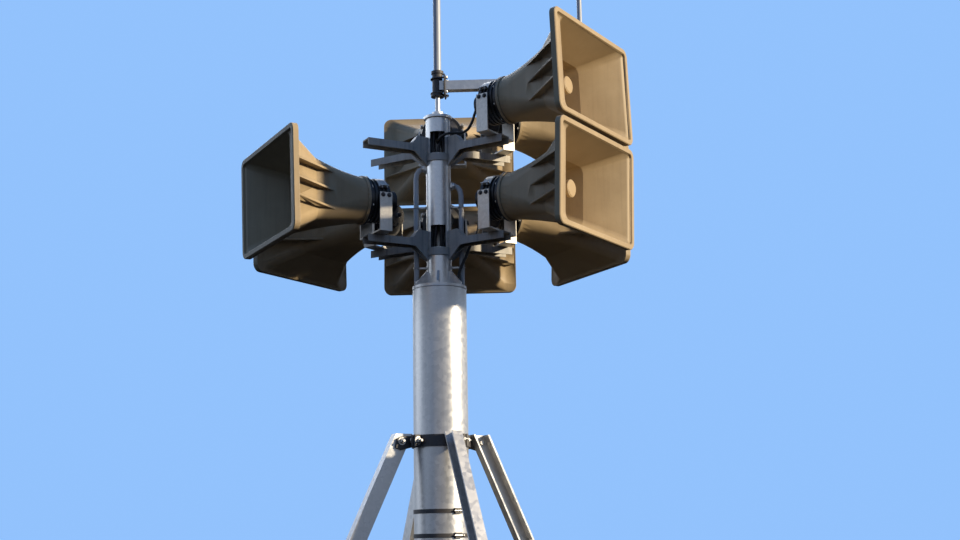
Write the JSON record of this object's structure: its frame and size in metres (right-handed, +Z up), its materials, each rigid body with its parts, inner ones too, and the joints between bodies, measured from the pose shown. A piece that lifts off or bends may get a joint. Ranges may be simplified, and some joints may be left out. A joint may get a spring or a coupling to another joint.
{
  "type": "civil defense siren tower",
  "caption": "Outdoor warning siren: two tiers of beige rectangular horns on a galvanised mast with four channel braces and two antennas.",
  "frame": {"origin": "on the mast axis at the underside of the base plate", "axes": "+Z up the mast; -Y towards the side with the vacant horn position"},
  "size_m": [2.2934, 2.2934, 5.1997],
  "materials": {
    "galvanised_steel": "hot-dip galvanised, dull spangle",
    "clamp_steel": "dark weathered steel",
    "arm_steel": "matt grey",
    "horn_paint": "satin beige, slightly dusty",
    "driver_enamel": "semi-gloss black",
    "antenna_white": "satin white",
    "conduit_grey": "light grey pipe",
    "lead_black": "dull black sheath"
  },
  "bodies": {
    "root": {"mast_base": "galvanised_steel", "mast_tube": "galvanised_steel", "mast_straps": "clamp_steel", "mast_top": "galvanised_steel", "leg_clamp": "clamp_steel", "leg_030": "galvanised_steel", "leg_120": "galvanised_steel", "leg_210": "galvanised_steel", "leg_300": "galvanised_steel", "foot_030": "galvanised_steel", "foot_120": "galvanised_steel", "foot_210": "galvanised_steel", "foot_300": "galvanised_steel", "head_tube": "galvanised_steel", "head_cap": "galvanised_steel", "lower_spider": "arm_steel", "upper_spider": "arm_steel", "horn_l330": "horn_paint", "horn_l030": "horn_paint", "horn_l090": "horn_paint", "horn_l150": "horn_paint", "horn_l210": "horn_paint", "horn_u330": "horn_paint", "horn_u030": "horn_paint", "horn_u090": "horn_paint", "driver_l330": "driver_enamel", "driver_l030": "driver_enamel", "driver_l090": "driver_enamel", "driver_l150": "driver_enamel", "driver_l210": "driver_enamel", "driver_u330": "driver_enamel", "driver_u030": "driver_enamel", "driver_u090": "driver_enamel", "yoke_l330": "galvanised_steel", "yoke_l030": "galvanised_steel", "yoke_l090": "galvanised_steel", "yoke_l150": "galvanised_steel", "yoke_l210": "galvanised_steel", "yoke_u330": "galvanised_steel", "yoke_u030": "galvanised_steel", "yoke_u090": "galvanised_steel", "antenna_stub": "galvanised_steel", "antenna_clamp": "clamp_steel", "antenna_rod": "antenna_white", "side_arm": "galvanised_steel", "side_rod": "antenna_white", "conduit_left": "conduit_grey", "conduit_right": "conduit_grey", "lead_l030": "lead_black", "lead_u330": "lead_black"}
  },
  "joints": []
}
